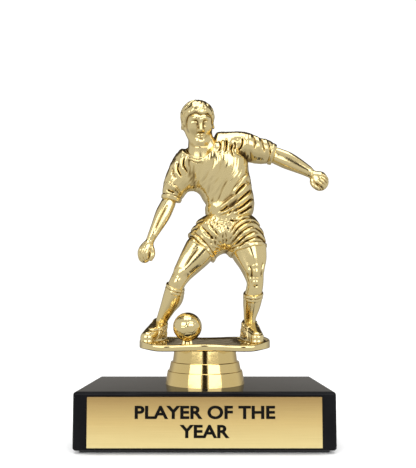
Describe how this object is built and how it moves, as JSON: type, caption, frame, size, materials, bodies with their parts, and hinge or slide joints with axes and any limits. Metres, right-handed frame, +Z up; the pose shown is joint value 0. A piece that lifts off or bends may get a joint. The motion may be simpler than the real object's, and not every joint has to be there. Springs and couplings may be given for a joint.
{
  "type": "figure trophy",
  "caption": "Gold ball player figure over a ball on a turf slab, stepped round riser and black rectangular block base with a nameplate.",
  "frame": {"origin": "centre of the block's underside, on the face of the felt pad", "axes": "+Z up, the nameplate faces -Y, +X is to the right of somebody who reads the nameplate"},
  "size_m": [0.1319, 0.0613, 0.1846],
  "materials": {
    "black_lacquer": "high gloss black lacquer on a wood block",
    "felt": "black self-adhesive felt",
    "plate_gold": "fine horizontal brush, gold anodised",
    "tape": "double-sided foam tape",
    "zinc_steel": "bright zinc plate",
    "gold_plated_plastic": "bright gold vacuum plating on moulded polystyrene"
  },
  "bodies": {
    "root": {"base_block": "black_lacquer", "base_felt_pad": "felt", "nameplate": "plate_gold", "nameplate_tape": "tape", "threaded_rod": "zinc_steel", "base_washer": "zinc_steel", "base_nut": "zinc_steel", "riser_nut": "zinc_steel", "riser": "gold_plated_plastic", "ground_plate": "gold_plated_plastic", "ball": "gold_plated_plastic", "figure_front_shell": "gold_plated_plastic", "figure_back_shell": "gold_plated_plastic"}
  },
  "joints": []
}
